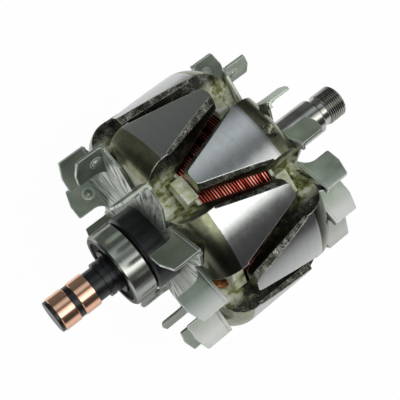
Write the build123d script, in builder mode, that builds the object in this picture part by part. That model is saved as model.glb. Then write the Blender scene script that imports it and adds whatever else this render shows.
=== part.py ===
from build123d import *
import math
import os

# Claw-pole generator rotor, shaft along X, slip rings at -X, pulley thread at +X.
# Dimensions along the shaft are counted from the middle of the claws.
# Each finished piece is then moved so that the origin lies on the shaft axis
# at the shoulder that the pulley-side bearing seats against.
# Angles round the shaft are counted from +Y towards +Z.

# Stock left on for turning, and how far a cut runs past its edge
turning_allowance = 1.0
cut_allowance = 1.0

# Claws
claw_radius = 52.25
finger_count = 6
finger_pitch = 360 / finger_count
rear_finger_angle = 75.0
front_finger_angle = rear_finger_angle + finger_pitch / 2
land_reach = 17.5
tip_reach = 15.2
bevel_reach = 15.4
root_half_width = 13.6
tip_half_width = 4.9
bevel_width = 1.9
bevel_depth = 2.8
tip_corner_radius = 1.8
rear_shoulder_radius = 10.9
front_shoulder_radius = 11.7
valley_floor_radius = 33.0
valley_fillet_radius = 3.0
half_core_radius = 26.0
disc_reach = 16.5
flange_clearance = 0.5
tip_rise_share = 0.465
underside_chamfer = 0.4
balance_hole_radius = 3.1
balance_hole_depth = 2.2
balance_hole_setback = 4.5
balance_hole_angle = 109.0
drill_point_angle = 118.0

# Shaft
core_radius = 10.0
press_gap = 0.02
rear_journal_radius = 7.5
rear_shoulder_step = 1.5
nose_radius = 5.0
front_collar_radius = 8.75
front_collar_end = 46.0
front_journal_radius = 8.5
front_journal_end = 65.2
undercut_radius = 6.9
thread_start = 68.35
thread_end = 78.2
thread_radius = 7.7
shaft_chamfer = 0.8
centre_hole_radius = 2.2
centre_hole_depth = 3.5

# Winding and its spool
bobbin_wall = 1.2
bobbin_gap = 0.05
flange_thickness = 1.4
flange_radius = 41.0
coil_setback = 1.0
coil_corner_radius = 1.2
lug_side_gap = 0.1
lug_rise = 2.4
lug_reach = 20.5
lead_radius = 0.7
lead_valley_gap = 0.6
lead_bend_radius = 2.0
lead_floor_gap = 0.2
lead_groove_width = 1.8
lead_groove_depth = 2.0
lead_end_radius = 14.6
lead_angle = rear_finger_angle + 1.5 * finger_pitch

# Fans
sheet_thickness = 1.2
sheet_gap = 0.02
bend_radius = 1.0
fan_radius = 50.3
fan_hub_radius = 27.0
blade_chord = 13.7
blade_lean = 29.0
blade_flat_length = 6.6
blade_corner_drop = 2.4
blade_corner_radius = 0.9
rear_blade_height = 15.2
front_blade_height = 13.8
arm_depth = 3.0
blade_flare = 6.0
arm_waist_radius = 42.0
rear_arm_waist_angle = 11.5
front_arm_waist_angle = 5.0
arm_root_angle = 22.0
gusset_leg = 4.0
gusset_radius = 1.6
# Uneven blade spacing keeps the fan quiet: angle of each blade's outer end
rear_blade_angles = [23, 57, 94, 131, 162, 193.5, 221, 249.5, 271, 297, 322, 350]
front_blade_angles = [2, 33, 66, 97.5, 122, 147, 170, 198, 231, 267, 303, 335]

# Ball bearing at the slip-ring end
bearing_rear_x = -51.7
bearing_width = 11.0
bearing_outer_radius = 17.5
outer_ring_wall = 2.9
inner_ring_wall = 2.8
race_wall = 2.03
ball_count = 8
track_clearance = 0.03
bearing_chamfer = 0.8
shield_thickness = 0.5
shield_recess = 0.7
shield_lip_gap = 0.35
cage_side_width = 0.63
cage_half_wall = 0.6
cage_pocket_gap = 0.05

# Slip rings and the moulded pieces that carry them
ring_radius = 7.8
ring_bore_radius = 6.7
outer_ring_rear_x = -80.75
outer_ring_front_x = -73.06
inner_ring_rear_x = -70.45
inner_ring_front_x = -62.93
ring_chamfer = 0.25
moulding_radius = 7.4
moulding_rear_x = -82.3
cap_thickness = 0.7
neck_radius = 7.0
neck_front_x = -57.5
collar_radius = 8.2
collar_groove_radius = 7.3
collar_groove_width = 0.9
collar_width = 2.4
fit_gap = 0.02
insulator_rim = 0.3
insulator_bearing_gap = 0.5
insulator_chamfer = 1.0
strip_width = 1.6
strip_foot_radius = 5.6
strip_thickness = 0.8
strip_gap = 0.05
strip_tab_length = 2.0
slot_width = 2.6
slot_floor_radius = 5.2

# Places worked out from the dimensions above
rear_face_x = -(land_reach + rear_shoulder_radius)
front_face_x = land_reach + front_shoulder_radius
flange_face_x = disc_reach - bobbin_gap
coil_half_length = flange_face_x - flange_thickness - bobbin_gap
bearing_front_x = bearing_rear_x + bearing_width
bearing_middle_x = bearing_rear_x + bearing_width / 2
outer_ring_shoulder_radius = bearing_outer_radius - outer_ring_wall
inner_ring_shoulder_radius = rear_journal_radius + inner_ring_wall
ball_circle_radius = (rear_journal_radius + bearing_outer_radius) / 2
ball_radius = (bearing_outer_radius - rear_journal_radius) / 2 - race_wall
cage_half_width = ball_radius + cage_side_width
rear_shoulder_shaft_radius = rear_journal_radius + rear_shoulder_step
moulding_front_x = bearing_rear_x - fit_gap
insulator_front_x = rear_face_x - fit_gap
insulator_radius = bearing_outer_radius + insulator_rim
root_underside_radius = flange_radius + flange_clearance
tip_underside_radius = (
    root_underside_radius + (claw_radius - root_underside_radius) * tip_rise_share
)
coil_radius = flange_radius - coil_setback
lug_foot_radius = (valley_floor_radius + flange_radius) / 2
lug_top_radius = flange_radius + lug_rise
lead_run_radius = valley_floor_radius + lead_radius + lead_valley_gap
strip_top_radius = strip_foot_radius + strip_thickness
bore_radius = core_radius + press_gap
tab_top_radius = math.sqrt(ring_bore_radius**2 - (strip_width / 2) ** 2) - fit_gap
tongue_half_width = slot_width / 2 - fit_gap
tongue_top_radius = math.sqrt(rear_journal_radius**2 - tongue_half_width**2) - fit_gap
valley_half_angle = finger_pitch / 2 - math.degrees(math.asin(root_half_width / lug_foot_radius))
valley_half_width = lug_foot_radius * math.sin(math.radians(valley_half_angle))
lug_width = 2 * (valley_half_width - lug_side_gap)


def on_circle(radius, angle):
    """Point of a sketch across the shaft, from its radius and its angle."""
    return (radius * math.cos(math.radians(angle)), radius * math.sin(math.radians(angle)))


def turned(points):
    """Solid of revolution about the shaft axis from (x, radius) points."""
    with BuildPart() as piece:
        with BuildSketch(Plane.XZ):
            with BuildLine():
                Polyline(*points, close=True)
            make_face()
        revolve(axis=Axis.X)
    return piece.part


def save(part, name):
    """Move a finished piece to the shared origin, label it and write its file."""
    placed = part.translate((-front_collar_end, 0, 0))
    placed.label = name
    export_step(placed, f"parts/{name}.step")


def slot_blank(rear_x, front_x, low_radius, high_radius, width, angle):
    """Straight bar along the shaft, used for slots and for what lies in them."""
    with BuildPart() as bar:
        with BuildSketch(Plane.XY.offset(low_radius)):
            with Locations(((rear_x + front_x) / 2, 0)):
                Rectangle(front_x - rear_x, width)
        extrude(amount=high_radius - low_radius)
    return bar.part.rotate(Axis.X, angle - 90)


# Shaft: one turned bar with two slots for the slip-ring conductors
with BuildPart() as shaft:
    with BuildSketch(Plane.XZ):
        with BuildLine():
            Polyline(
                (moulding_rear_x + cap_thickness + fit_gap, 0),
                (moulding_rear_x + cap_thickness + fit_gap, nose_radius),
                (bearing_rear_x, nose_radius),
                (bearing_rear_x, rear_journal_radius - shaft_chamfer),
                (bearing_rear_x + shaft_chamfer, rear_journal_radius),
                (bearing_front_x, rear_journal_radius),
                (bearing_front_x, rear_shoulder_shaft_radius),
                (rear_face_x, rear_shoulder_shaft_radius),
                (rear_face_x, core_radius),
                (front_face_x + sheet_thickness, core_radius),
                (front_face_x + sheet_thickness, front_collar_radius),
                (front_collar_end, front_collar_radius),
                (front_collar_end, front_journal_radius),
                (front_journal_end - shaft_chamfer, front_journal_radius),
                (front_journal_end, front_journal_radius - shaft_chamfer),
                (front_journal_end, undercut_radius),
                (thread_start, undercut_radius),
                (thread_start + shaft_chamfer, thread_radius),
                (thread_end - shaft_chamfer, thread_radius),
                (thread_end, thread_radius - shaft_chamfer),
                (thread_end, centre_hole_radius),
                (thread_end - centre_hole_depth, 0),
                close=True,
            )
        make_face()
    revolve(axis=Axis.X)
    for angle in (lead_angle, lead_angle + 180):
        slot = slot_blank(
            bearing_rear_x,
            rear_face_x,
            slot_floor_radius,
            core_radius,
            slot_width,
            angle,
        )
        add(slot, mode=Mode.SUBTRACT)
save(shaft.part, "shaft")


def claw_finger(face_x):
    """One claw finger pointing up, over-long at the outside for turning."""
    over_radius = claw_radius + turning_allowance
    over_share = (over_radius - claw_radius + bevel_depth) / bevel_depth
    land_inset = bevel_width * over_share
    with BuildPart() as finger:
        with BuildSketch(Plane.XY.offset(valley_floor_radius)) as body:
            with BuildLine():
                Polyline(
                    (-bevel_reach, -root_half_width),
                    (tip_reach, -tip_half_width),
                    (tip_reach, tip_half_width),
                    (-bevel_reach, root_half_width),
                    close=True,
                )
            make_face()
            fillet(body.vertices().group_by(Axis.X)[-1], tip_corner_radius)
        extrude(amount=claw_radius - bevel_depth - valley_floor_radius)
        with BuildSketch(Plane.XY.offset(claw_radius - bevel_depth)) as low:
            with BuildLine():
                Polyline(
                    (-bevel_reach, -root_half_width),
                    (tip_reach, -tip_half_width),
                    (tip_reach, tip_half_width),
                    (-bevel_reach, root_half_width),
                    close=True,
                )
            make_face()
            fillet(low.vertices().group_by(Axis.X)[-1], tip_corner_radius)
        with BuildSketch(Plane.XY.offset(over_radius)) as high:
            with BuildLine():
                Polyline(
                    (-bevel_reach, land_inset - root_half_width),
                    (tip_reach, land_inset - tip_half_width),
                    (tip_reach, tip_half_width - land_inset),
                    (-bevel_reach, root_half_width - land_inset),
                    close=True,
                )
            make_face()
            fillet(high.vertices().group_by(Axis.X)[-1], tip_corner_radius)
        loft()
        with BuildSketch(Plane.XY.offset(valley_floor_radius)):
            with Locations(((face_x - bevel_reach) / 2, 0)):
                Rectangle(-bevel_reach - face_x, 2 * root_half_width)
        extrude(amount=over_radius - valley_floor_radius)
    return finger.part


def claw_pole(shoulder_radius, first_angle):
    """One forged pole piece with its disc towards -X and its fingers towards +X."""
    face_x = -(land_reach + shoulder_radius)
    finger = claw_finger(face_x)
    with BuildPart() as pole:
        with BuildSketch(Plane.YZ.offset(face_x)) as outline:
            Circle(valley_floor_radius)
            with PolarLocations(0, finger_count, start_angle=first_angle):
                Rectangle(
                    claw_radius + turning_allowance,
                    2 * root_half_width,
                    align=(Align.MIN, Align.CENTER),
                )
            valleys = outline.vertices().filter_by(
                lambda corner: corner.center().length < valley_floor_radius + cut_allowance
            )
            fillet(valleys, valley_fillet_radius)
        extrude(amount=-disc_reach - face_x)
        for number in range(finger_count):
            add(finger.rotate(Axis.X, first_angle - 90 + number * finger_pitch))
        with BuildSketch(Plane.YZ.offset(-disc_reach)):
            Circle(half_core_radius)
        extrude(amount=disc_reach)
        with BuildSketch(Plane.XZ):
            with BuildLine():
                CenterArc((-land_reach, claw_radius - shoulder_radius), shoulder_radius, 90, 90)
                Polyline(
                    (face_x, claw_radius - shoulder_radius),
                    (face_x, bore_radius),
                    (-press_gap, bore_radius),
                    (-press_gap, half_core_radius),
                    (-disc_reach, half_core_radius),
                    (-disc_reach, root_underside_radius - underside_chamfer),
                    (-disc_reach + underside_chamfer, root_underside_radius),
                    (tip_reach, tip_underside_radius),
                    (tip_reach, claw_radius),
                    (-land_reach, claw_radius),
                )
            make_face()
        revolve(axis=Axis.X, mode=Mode.INTERSECT)
    return pole.part


# Rear pole piece, with two grooves in its face for the winding ends
with BuildPart() as rear_pole_piece:
    add(claw_pole(rear_shoulder_radius, rear_finger_angle))
    for angle in (lead_angle, lead_angle + 180):
        groove = slot_blank(
            rear_face_x,
            rear_face_x + lead_groove_depth,
            core_radius,
            lead_run_radius + lead_radius,
            lead_groove_width,
            angle,
        )
        add(groove, mode=Mode.SUBTRACT)
save(rear_pole_piece.part, "rear_pole_piece")

# Front pole piece, the same forging half a pitch on, drilled in one shoulder for balance
hole_floor = Plane(
    origin=(
        land_reach + balance_hole_setback,
        *on_circle(claw_radius - balance_hole_depth, balance_hole_angle),
    ),
    z_dir=(0, *on_circle(1, balance_hole_angle)),
)
with BuildPart() as front_pole_piece:
    add(mirror(claw_pole(front_shoulder_radius, front_finger_angle), about=Plane.YZ))
    with Locations(hole_floor):
        Cylinder(
            balance_hole_radius,
            balance_hole_depth + cut_allowance,
            align=(Align.CENTER, Align.CENTER, Align.MIN),
            mode=Mode.SUBTRACT,
        )
        Cone(
            0,
            balance_hole_radius,
            balance_hole_radius / math.tan(math.radians(drill_point_angle / 2)),
            align=(Align.CENTER, Align.CENTER, Align.MAX),
            mode=Mode.SUBTRACT,
        )
save(front_pole_piece.part, "front_pole_piece")


# Bobbin: spool with flanges, six lugs in each row of valleys and two notches for the leads
spool_bore = half_core_radius + bobbin_gap
spool_radius = spool_bore + bobbin_wall
with BuildPart() as coil_bobbin:
    with BuildSketch(Plane.XZ):
        with BuildLine():
            Polyline(
                (-flange_face_x, spool_bore),
                (-flange_face_x, flange_radius),
                (-flange_face_x + flange_thickness, flange_radius),
                (-flange_face_x + flange_thickness, spool_radius),
                (flange_face_x - flange_thickness, spool_radius),
                (flange_face_x - flange_thickness, flange_radius),
                (flange_face_x, flange_radius),
                (flange_face_x, spool_bore),
                close=True,
            )
        make_face()
    revolve(axis=Axis.X)
    for side, first_angle in ((-1, front_finger_angle), (1, rear_finger_angle)):
        inner_x = side * (flange_face_x - flange_thickness)
        with BuildSketch(Plane.YZ.offset(inner_x)) as lugs:
            with PolarLocations(0, finger_count, start_angle=first_angle):
                with Locations((lug_foot_radius, 0)):
                    Rectangle(
                        lug_top_radius - lug_foot_radius,
                        lug_width,
                        align=(Align.MIN, Align.CENTER),
                    )
        extrude(amount=side * (lug_reach - abs(inner_x)))
    for angle in (lead_angle, lead_angle + 180):
        notch = slot_blank(
            -lug_reach - cut_allowance,
            -coil_half_length,
            lead_run_radius - lead_radius - bobbin_gap,
            lug_top_radius + cut_allowance,
            2 * (lead_radius + bobbin_gap),
            angle,
        )
        add(notch, mode=Mode.SUBTRACT)
save(coil_bobbin.part, "coil_bobbin")

# Winding
with BuildPart() as field_coil:
    with BuildSketch(Plane.XZ) as section:
        with Locations((0, (spool_radius + bobbin_gap + coil_radius) / 2)):
            Rectangle(2 * coil_half_length, coil_radius - spool_radius - bobbin_gap)
        fillet(section.vertices(), coil_corner_radius)
    revolve(axis=Axis.X)
save(field_coil.part, "field_coil")


def coil_lead(angle):
    """Winding end: along a valley, then down the groove in the rear pole face."""
    groove_x = rear_face_x + lead_radius + lead_floor_gap
    with BuildPart() as lead:
        with BuildLine():
            FilletPolyline(
                (-coil_half_length - bobbin_gap, 0, lead_run_radius),
                (groove_x, 0, lead_run_radius),
                (groove_x, 0, lead_end_radius),
                radius=lead_bend_radius,
            )
        with BuildSketch(Plane.YZ.offset(-coil_half_length - bobbin_gap)):
            with Locations((0, lead_run_radius)):
                Circle(lead_radius)
        sweep()
    return lead.part.rotate(Axis.X, angle - 90)


save(coil_lead(lead_angle), "coil_lead_start")
save(coil_lead(lead_angle + 180), "coil_lead_finish")


def fan_blade(height):
    """Blade with its bend and pressed gusset, inner end at Y = 0, standing up along X."""
    with BuildPart(mode=Mode.PRIVATE) as gusset:
        middle = sheet_thickness + gusset_leg / 2
        with Locations(Location((middle, blade_chord / 2, middle), (0, -45, 0))):
            Cylinder(gusset_radius, 2 * gusset_leg)
        with Locations((sheet_thickness / 2, blade_chord / 2, sheet_thickness / 2)):
            Box(
                2 * gusset_leg,
                2 * gusset_radius,
                2 * gusset_leg,
                align=(Align.MIN, Align.CENTER, Align.MIN),
                mode=Mode.INTERSECT,
            )
    with BuildPart() as blade:
        with BuildSketch(Plane.ZX.offset(-blade_flare)) as section:
            with BuildLine():
                Polyline(
                    (0, 0),
                    (arm_depth, 0),
                    (arm_depth, sheet_thickness),
                    (sheet_thickness, sheet_thickness),
                    (sheet_thickness, height),
                    (0, height),
                    close=True,
                )
            make_face()
            bend_corners = section.vertices().sort_by_distance((0, 0))
            fillet(bend_corners[0], bend_radius + sheet_thickness)
            inside_corner = section.vertices().sort_by_distance((sheet_thickness, sheet_thickness))
            fillet(inside_corner[0], bend_radius)
        extrude(amount=blade_flare + blade_chord)
        with BuildSketch(Plane.XY) as outline:
            with BuildLine():
                Polyline(
                    (sheet_thickness + blade_flare, 0),
                    (height, 0),
                    (height, blade_flat_length),
                    (height - blade_corner_drop, blade_chord),
                    (0, blade_chord),
                    (0, -blade_flare),
                    (sheet_thickness, -blade_flare),
                )
                RadiusArc(
                    (sheet_thickness, -blade_flare),
                    (sheet_thickness + blade_flare, 0),
                    blade_flare,
                )
            make_face()
            free_corners = outline.vertices().filter_by(
                lambda corner: corner.X > height - blade_corner_drop - cut_allowance
            )
            fillet(free_corners, blade_corner_radius)
        extrude(amount=arm_depth, mode=Mode.INTERSECT)
        add(gusset.part)
    return blade.part


def fan(blade_angles, blade_height, waist_angle, hub_hole_radius):
    """Star-shaped plate with its back at x = 0 and its blades standing towards +X."""
    blade = fan_blade(blade_height)
    with BuildPart() as wheel:
        with BuildSketch(Plane.YZ):
            Circle(fan_hub_radius)
            for angle in blade_angles:
                outer = Vector(*on_circle(fan_radius, angle))
                foot_length = blade_chord + blade_flare
                foot = outer - Vector(*on_circle(foot_length, angle + blade_lean))
                with BuildLine():
                    Polyline(
                        (0, 0),
                        foot,
                        outer,
                        on_circle(arm_waist_radius, angle + waist_angle),
                        on_circle(fan_hub_radius, angle + arm_root_angle),
                        close=True,
                    )
                make_face()
            Circle(hub_hole_radius, mode=Mode.SUBTRACT)
        extrude(amount=sheet_thickness)
        for angle in blade_angles:
            outer = Vector(*on_circle(fan_radius, angle))
            inner = outer - Vector(*on_circle(blade_chord, angle + blade_lean))
            add(blade.rotate(Axis.X, angle + blade_lean).translate((0, inner.X, inner.Y)))
    return wheel.part


# Fans, pressed over the insulator and the shaft and welded to the pole faces
rear_fan = mirror(
    fan(
        rear_blade_angles,
        rear_blade_height,
        rear_arm_waist_angle,
        insulator_radius + fit_gap,
    ),
    about=Plane.YZ,
)
save(rear_fan.translate((rear_face_x - sheet_gap, 0, 0)), "rear_fan")
front_fan = fan(
    front_blade_angles, front_blade_height, front_arm_waist_angle, core_radius + fit_gap
)
save(front_fan.translate((front_face_x + sheet_gap, 0, 0)), "front_fan")


# Bearing rings with ball tracks
track_radius = ball_radius + track_clearance
with BuildPart() as bearing_outer_ring:
    with BuildSketch(Plane.XZ):
        with BuildLine():
            Polyline(
                (bearing_rear_x, outer_ring_shoulder_radius),
                (bearing_rear_x, bearing_outer_radius - bearing_chamfer),
                (bearing_rear_x + bearing_chamfer, bearing_outer_radius),
                (bearing_front_x - bearing_chamfer, bearing_outer_radius),
                (bearing_front_x, bearing_outer_radius - bearing_chamfer),
                (bearing_front_x, outer_ring_shoulder_radius),
                close=True,
            )
        make_face()
        with Locations((bearing_middle_x, ball_circle_radius)):
            Circle(track_radius, mode=Mode.SUBTRACT)
    revolve(axis=Axis.X)
save(bearing_outer_ring.part, "bearing_outer_ring")

inner_ring_bore_radius = rear_journal_radius + press_gap
with BuildPart() as bearing_inner_ring:
    with BuildSketch(Plane.XZ):
        with Locations((bearing_rear_x, inner_ring_bore_radius)):
            Rectangle(
                bearing_width,
                inner_ring_shoulder_radius - inner_ring_bore_radius,
                align=(Align.MIN, Align.MIN),
            )
        with Locations((bearing_middle_x, ball_circle_radius)):
            Circle(track_radius, mode=Mode.SUBTRACT)
    revolve(axis=Axis.X)
save(bearing_inner_ring.part, "bearing_inner_ring")

# Balls and the cage that spaces them
with BuildPart() as bearing_balls:
    with PolarLocations(ball_circle_radius, ball_count):
        Sphere(ball_radius)
turned_balls = bearing_balls.part.rotate(Axis.Y, 90).translate((bearing_middle_x, 0, 0))
save(turned_balls, "bearing_balls")

with BuildPart() as cage_blank:
    Cylinder(ball_circle_radius + cage_half_wall, 2 * cage_half_width)
    Cylinder(ball_circle_radius - cage_half_wall, 2 * cage_half_width, mode=Mode.SUBTRACT)
    with PolarLocations(ball_circle_radius, ball_count):
        Cylinder(
            ball_radius + cage_pocket_gap,
            4 * cage_half_wall,
            rotation=(0, 90, 0),
            mode=Mode.SUBTRACT,
        )
save(cage_blank.part.rotate(Axis.Y, 90).translate((bearing_middle_x, 0, 0)), "bearing_cage")

# Sheet-metal shields, held in the outer ring and clear of the inner one
for name, shield_x in (
    ("bearing_shield_rear", bearing_rear_x + shield_recess),
    ("bearing_shield_front", bearing_front_x - shield_recess - shield_thickness),
):
    shield = turned([
        (shield_x, inner_ring_shoulder_radius + shield_lip_gap),
        (shield_x, outer_ring_shoulder_radius - fit_gap),
        (shield_x + shield_thickness, outer_ring_shoulder_radius - fit_gap),
        (shield_x + shield_thickness, inner_ring_shoulder_radius + shield_lip_gap),
    ])
    save(shield, name)


# Slip rings
for name, rear_x, front_x in (
    ("slip_ring_outer", outer_ring_rear_x, outer_ring_front_x),
    ("slip_ring_inner", inner_ring_rear_x, inner_ring_front_x),
):
    ring = turned([
        (rear_x, ring_bore_radius),
        (rear_x, ring_radius - ring_chamfer),
        (rear_x + ring_chamfer, ring_radius),
        (front_x - ring_chamfer, ring_radius),
        (front_x, ring_radius - ring_chamfer),
        (front_x, ring_bore_radius),
    ])
    save(ring, name)


def conductor(ring_rear_x, ring_front_x, angle):
    """Copper strip from under a slip ring to the winding end behind the bearing."""
    tab_x = (ring_rear_x + ring_front_x - strip_tab_length) / 2
    leg_x = rear_face_x - fit_gap
    with BuildPart() as strip:
        add(slot_blank(tab_x, leg_x, strip_foot_radius, strip_top_radius, strip_width, 90))
        add(slot_blank(tab_x, tab_x + strip_tab_length, strip_top_radius,
                       tab_top_radius, strip_width, 90))
        add(slot_blank(leg_x - strip_thickness, leg_x, strip_top_radius,
                       lead_end_radius + 2 * lead_radius, strip_width, 90))
    return strip.part.rotate(Axis.X, angle - 90)


conductor_outer = conductor(outer_ring_rear_x, outer_ring_front_x, lead_angle)
conductor_inner = conductor(inner_ring_rear_x, inner_ring_front_x, lead_angle + 180)
save(conductor_outer, "conductor_outer")
save(conductor_inner, "conductor_inner")


def conductor_room(rear_x, front_x, high_radius, angle):
    """Space cut round a conductor strip in a moulded piece."""
    return slot_blank(
        rear_x,
        front_x,
        strip_foot_radius - strip_gap,
        high_radius,
        strip_width + 2 * strip_gap,
        angle,
    )


# Slip-ring moulding: carrier, neck, grooved collar and two tongues under the bearing
seat_radius = ring_bore_radius - fit_gap
collar_break = neck_front_x + collar_width
with BuildPart() as slip_ring_moulding:
    with BuildSketch(Plane.XZ):
        with BuildLine():
            Polyline(
                (moulding_rear_x, 0),
                (moulding_rear_x, moulding_radius - ring_chamfer),
                (moulding_rear_x + ring_chamfer, moulding_radius),
                (outer_ring_rear_x, moulding_radius),
                (outer_ring_rear_x, seat_radius),
                (outer_ring_front_x, seat_radius),
                (outer_ring_front_x, moulding_radius),
                (inner_ring_rear_x, moulding_radius),
                (inner_ring_rear_x, seat_radius),
                (inner_ring_front_x, seat_radius),
                (inner_ring_front_x, neck_radius),
                (neck_front_x, neck_radius),
                (neck_front_x, collar_radius),
                (collar_break, collar_radius),
                (collar_break, collar_groove_radius),
                (collar_break + collar_groove_width, collar_groove_radius),
                (collar_break + collar_groove_width, collar_radius),
                (moulding_front_x, collar_radius),
                (moulding_front_x, nose_radius + fit_gap),
                (moulding_rear_x + cap_thickness, nose_radius + fit_gap),
                (moulding_rear_x + cap_thickness, 0),
                close=True,
            )
        make_face()
    revolve(axis=Axis.X)
    for angle in (lead_angle, lead_angle + 180):
        add(slot_blank(moulding_front_x, bearing_front_x, slot_floor_radius + fit_gap,
                       tongue_top_radius, 2 * tongue_half_width, angle))
    outer_tab_x = (outer_ring_rear_x + outer_ring_front_x - strip_tab_length) / 2
    inner_tab_x = (inner_ring_rear_x + inner_ring_front_x - strip_tab_length) / 2
    for tab_x, angle in ((outer_tab_x, lead_angle), (inner_tab_x, lead_angle + 180)):
        add(conductor_room(tab_x - strip_gap, bearing_front_x + cut_allowance,
                           strip_top_radius + strip_gap, angle), mode=Mode.SUBTRACT)
        add(conductor_room(tab_x - strip_gap, tab_x + strip_tab_length + strip_gap,
                           ring_bore_radius, angle), mode=Mode.SUBTRACT)
save(slip_ring_moulding.part, "slip_ring_moulding")

# Insulator between the bearing and the rear pole face, round the shaft and both conductors
insulator_rear_x = bearing_front_x + insulator_bearing_gap
with BuildPart() as lead_insulator:
    with BuildSketch(Plane.XZ):
        with BuildLine():
            Polyline(
                (insulator_rear_x, rear_shoulder_shaft_radius + fit_gap),
                (insulator_rear_x, insulator_radius - insulator_chamfer),
                (insulator_rear_x + insulator_chamfer, insulator_radius),
                (insulator_front_x, insulator_radius),
                (insulator_front_x, rear_shoulder_shaft_radius + fit_gap),
                close=True,
            )
        make_face()
    revolve(axis=Axis.X)
    for angle in (lead_angle, lead_angle + 180):
        add(slot_blank(insulator_rear_x, insulator_front_x, slot_floor_radius + fit_gap,
                       rear_shoulder_shaft_radius + cut_allowance, 2 * tongue_half_width, angle))
        add(conductor_room(insulator_rear_x - cut_allowance, insulator_front_x,
                           strip_top_radius + strip_gap, angle), mode=Mode.SUBTRACT)
        add(conductor_room(insulator_front_x - strip_thickness - strip_gap, insulator_front_x,
                           lead_end_radius + 2 * lead_radius + strip_gap, angle),
            mode=Mode.SUBTRACT)
save(lead_insulator.part, "lead_insulator")
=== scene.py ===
import bmesh
import bpy
import math
from mathutils import Matrix, Vector


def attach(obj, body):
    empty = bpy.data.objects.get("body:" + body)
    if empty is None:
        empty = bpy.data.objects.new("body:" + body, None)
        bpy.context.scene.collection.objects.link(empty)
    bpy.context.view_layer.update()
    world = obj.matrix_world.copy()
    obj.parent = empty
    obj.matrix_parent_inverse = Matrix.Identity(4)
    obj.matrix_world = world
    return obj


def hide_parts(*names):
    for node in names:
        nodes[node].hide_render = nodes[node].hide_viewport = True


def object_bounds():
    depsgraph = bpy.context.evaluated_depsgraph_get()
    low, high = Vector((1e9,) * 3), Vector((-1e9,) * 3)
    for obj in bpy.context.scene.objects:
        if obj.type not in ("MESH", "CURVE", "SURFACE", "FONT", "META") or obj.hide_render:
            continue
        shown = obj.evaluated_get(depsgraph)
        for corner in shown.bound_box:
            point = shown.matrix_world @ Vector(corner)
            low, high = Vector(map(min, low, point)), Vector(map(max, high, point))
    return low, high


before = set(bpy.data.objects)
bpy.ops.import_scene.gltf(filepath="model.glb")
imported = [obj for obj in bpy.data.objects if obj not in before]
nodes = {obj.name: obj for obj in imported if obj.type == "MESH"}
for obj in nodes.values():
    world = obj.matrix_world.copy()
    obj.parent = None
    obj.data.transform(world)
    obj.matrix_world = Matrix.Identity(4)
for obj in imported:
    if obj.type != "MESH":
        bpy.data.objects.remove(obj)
cad_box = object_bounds()

# Shaft. One bar of medium-carbon steel, turned between centres, ground where
# the bearings and the pulley sit, with a rolled thread on the pulley end. Its
# sizes are in millimetres, counted along the bar from the pulley shoulder.
per_metre = 1000
rear_end, front_end = -127.58, 32.2
nose_radius, nose_end = 5.0, -97.7
rear_journal, rear_journal_end = 7.5, -86.7
rear_shoulder, rear_shoulder_end = 9.0, -74.4
core_radius, core_end = 10.0, -15.6
collar_radius = 8.75
scribe_place, scribe_half_width, scribe_depth = -9.1, 0.2, 0.15
front_journal, front_journal_end = 8.5, 19.2
undercut_radius, undercut_end, undercut_slope = 6.9, 22.35, 0.4
chamfer, blend = 0.8, 0.05
centre_hole_radius, centre_hole_neck, centre_hole_depth = 2.2, 1.5, 3.5
centre_cone_depth = 1.2
face_ring_radius, axis_radius = 6.0, 0.001
thread_crest, thread_depth, thread_pitch, rows_per_turn = 7.7, 0.55, 1.08, 10
shaft_sides = 128


def srgb(hex_colour):
    """Linear colour with alpha from an sRGB hex string."""
    parts = [int(hex_colour[i:i + 2], 16) / 255 for i in (0, 2, 4)]
    return [c / 12.92 if c <= 0.04045 else ((c + 0.055) / 1.055) ** 2.4 for c in parts] + [1.0]


def finish(name, colour, roughness, metallic=0.0, **sockets):
    """New material and its shader, with the plain values it has where no pattern is linked over them."""
    material = bpy.data.materials.new(name)
    material.use_nodes = True
    shader = material.node_tree.nodes["Principled BSDF"]
    shader.inputs["Base Color"].default_value = srgb(colour)
    shader.inputs["Roughness"].default_value = roughness
    shader.inputs["Metallic"].default_value = metallic
    for socket, value in sockets.items():
        shader.inputs[socket.replace("_", " ")].default_value = value
    return material, shader


def add(owner, kind, inputs=None, stops=None, to=None, out=None, **settings):
    """Adds one node to its owner's tree with settings and links, and gives its output."""
    tree = owner.id_data
    node = tree.nodes.new("ShaderNode" + kind)
    for setting, value in settings.items():
        setattr(node, setting, value)
    if stops:
        ramp = node.color_ramp
        while len(ramp.elements) < len(stops):
            ramp.elements.new(1.0)
        for element, (place, colour) in zip(ramp.elements, stops):
            element.position = place
            element.color = srgb(colour) if isinstance(colour, str) else (*colour, 1.0)
    for socket, value in (inputs or {}).items():
        if isinstance(value, bpy.types.NodeSocket):
            tree.links.new(value, node.inputs[socket])
        else:
            node.inputs[socket].default_value = value
    result = node.outputs[out] if out else next(o for o in node.outputs if o.enabled)
    if to:
        tree.links.new(result, owner.inputs[to])
    return result


def spin(name, rows, sides, material, pitch=1.0, ridge=None):
    """Piece turned about the shaft axis from (x, radius, ridge depth) rows in millimetres."""
    points, faces = [], []
    for x, radius, depth in rows:
        for side in range(sides):
            turn = side / sides
            low = depth * ridge((x / pitch - turn) % 1.0) if depth else 0.0
            angle = 2 * math.pi * turn
            points.append((
                x / per_metre,
                (radius - low) * math.cos(angle) / per_metre,
                (radius - low) * math.sin(angle) / per_metre,
            ))
    for row in range(len(rows) - 1):
        for side in range(sides):
            after = (side + 1) % sides
            faces.append((
                row * sides + side,
                row * sides + after,
                (row + 1) * sides + after,
                (row + 1) * sides + side,
            ))
    mesh = bpy.data.meshes.new(name)
    mesh.from_pydata(points, [], faces)
    mesh.shade_smooth()
    sharpest_smooth_edge = math.radians(32)
    mesh.set_sharp_from_angle(angle=sharpest_smooth_edge)
    mesh.materials.append(material)
    piece = bpy.data.objects.new(name, mesh)
    bpy.context.scene.collection.objects.link(piece)
    return piece


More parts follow.
